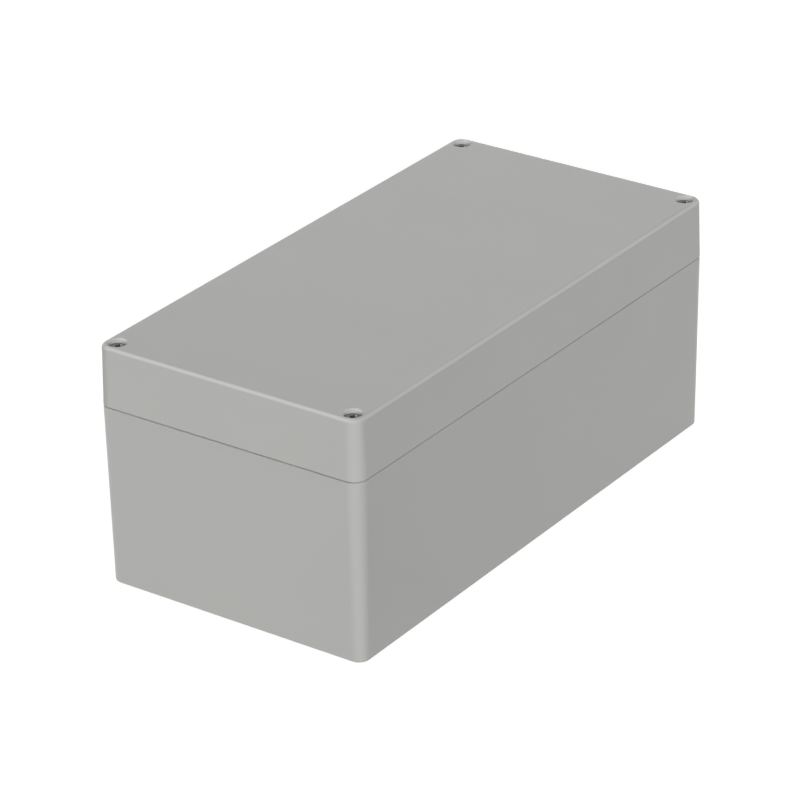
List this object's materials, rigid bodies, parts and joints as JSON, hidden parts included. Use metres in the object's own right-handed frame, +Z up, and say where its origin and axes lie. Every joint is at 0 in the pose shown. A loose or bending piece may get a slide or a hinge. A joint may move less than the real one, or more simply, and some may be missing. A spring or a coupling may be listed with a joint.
{
  "type": "polycarbonate enclosure",
  "caption": "Rectangular deep plastic enclosure with a flat lid, a tongue-and-groove seal, captive corner screws and wall-mounting holes outside the sealed space.",
  "frame": {"origin": "centre of the underside of the base", "axes": "+X along the length, +Y along the width, +Z up through the lid"},
  "size_m": [0.24, 0.12, 0.1],
  "materials": {
    "shell": "light grey polycarbonate with a fine moulded texture",
    "gasket": "dark soft cord",
    "insert": "turned and knurled brass",
    "washer": "natural polyamide",
    "screw": "turned stainless steel, dull"
  },
  "bodies": {
    "base": {"base": "shell", "threaded_insert_front_left": "insert", "threaded_insert_front_right": "insert", "threaded_insert_rear_left": "insert", "threaded_insert_rear_right": "insert"},
    "lid": {"lid": "shell", "gasket": "gasket"},
    "washer_front_left": {"captive_washer_front_left": "washer"},
    "screw_front_left": {"lid_screw_front_left": "screw"},
    "washer_front_right": {"captive_washer_front_right": "washer"},
    "screw_front_right": {"lid_screw_front_right": "screw"},
    "washer_rear_left": {"captive_washer_rear_left": "washer"},
    "screw_rear_left": {"lid_screw_rear_left": "screw"},
    "washer_rear_right": {"captive_washer_rear_right": "washer"},
    "screw_rear_right": {"lid_screw_rear_right": "screw"}
  },
  "joints": [
    {"name": "lid_lift", "type": "slide", "parent": "base", "child": "lid", "axis": [0, 0, 1], "range_m": [0, 0.15]},
    {"name": "screw_rise_front_left", "type": "slide", "parent": "lid", "child": "washer_front_left", "axis": [0, 0, 1], "range_m": [0, 0.0077]},
    {"name": "screw_turn_front_left", "type": "hinge", "parent": "washer_front_left", "child": "screw_front_left", "pos_m": [-0.11375, -0.05375, 0.075], "axis": [0, 0, 1], "range_deg": [0, 3960]},
    {"name": "screw_rise_front_right", "type": "slide", "parent": "lid", "child": "washer_front_right", "axis": [0, 0, 1], "range_m": [0, 0.0077]},
    {"name": "screw_turn_front_right", "type": "hinge", "parent": "washer_front_right", "child": "screw_front_right", "pos_m": [0.11375, -0.05375, 0.075], "axis": [0, 0, 1], "range_deg": [0, 3960]},
    {"name": "screw_rise_rear_left", "type": "slide", "parent": "lid", "child": "washer_rear_left", "axis": [0, 0, 1], "range_m": [0, 0.0077]},
    {"name": "screw_turn_rear_left", "type": "hinge", "parent": "washer_rear_left", "child": "screw_rear_left", "pos_m": [-0.11375, 0.05375, 0.075], "axis": [0, 0, 1], "range_deg": [0, 3960]},
    {"name": "screw_rise_rear_right", "type": "slide", "parent": "lid", "child": "washer_rear_right", "axis": [0, 0, 1], "range_m": [0, 0.0077]},
    {"name": "screw_turn_rear_right", "type": "hinge", "parent": "washer_rear_right", "child": "screw_rear_right", "pos_m": [0.11375, 0.05375, 0.075], "axis": [0, 0, 1], "range_deg": [0, 3960]}
  ],
  "couplings": [
    {"joint": "screw_turn_front_left", "follows": "screw_rise_front_left", "rad_per_m": 8976},
    {"joint": "screw_turn_front_right", "follows": "screw_rise_front_right", "rad_per_m": 8976},
    {"joint": "screw_turn_rear_left", "follows": "screw_rise_rear_left", "rad_per_m": 8976},
    {"joint": "screw_turn_rear_right", "follows": "screw_rise_rear_right", "rad_per_m": 8976}
  ]
}
